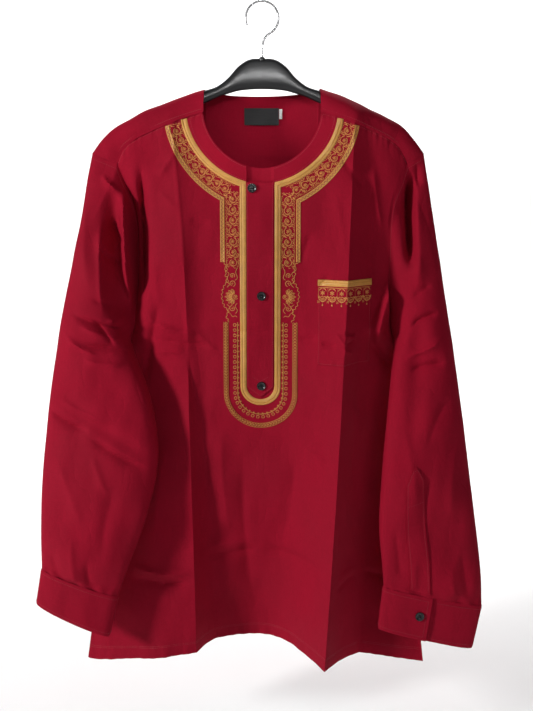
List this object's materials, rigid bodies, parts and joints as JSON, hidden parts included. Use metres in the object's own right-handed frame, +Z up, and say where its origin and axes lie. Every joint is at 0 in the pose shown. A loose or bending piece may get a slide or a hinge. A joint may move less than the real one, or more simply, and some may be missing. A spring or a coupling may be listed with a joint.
{
  "type": "long-sleeve collarless shirt on a hanger",
  "caption": "Collarless long-sleeve pullover shirt with a buttoned half placket, braid round the neck, a chest pocket and buttoned cuffs, hung on a plain hanger with a hook.",
  "frame": {"origin": "the point under the hook's arch where a rail holds it", "axes": "+Z up, +X towards the viewer's right, which is the wearer's left, and -Y out of the shirt's front"},
  "size_m": [0.662, 0.1961, 0.9845],
  "materials": {
    "shirt_cloth": "plain-woven cotton",
    "gold_braid": "satin-stitched thread",
    "button_plastic": "polished",
    "woven_label": "woven satin",
    "size_tab": "woven",
    "hanger_plastic": "moulded",
    "hook_steel": "bright wire"
  },
  "bodies": {
    "root": {"back": "shirt_cloth", "cuff_button_left": "button_plastic", "cuff_button_right": "button_plastic", "cuff_left": "shirt_cloth", "cuff_right": "shirt_cloth", "front": "shirt_cloth", "front_placket": "shirt_cloth", "hanger": "hanger_plastic", "hanger_hook": "hook_steel", "neck_braid_inner": "gold_braid", "neck_braid_outer_left": "gold_braid", "neck_braid_outer_right": "gold_braid", "neck_label": "woven_label", "placket_braid_lower": "gold_braid", "placket_button_1": "button_plastic", "placket_button_2": "button_plastic", "placket_button_3": "button_plastic", "pocket": "shirt_cloth", "pocket_braid": "gold_braid", "size_tab": "size_tab", "sleeve_left": "shirt_cloth", "sleeve_placket_left": "shirt_cloth", "sleeve_placket_right": "shirt_cloth", "sleeve_right": "shirt_cloth", "yoke": "shirt_cloth"}
  },
  "joints": []
}
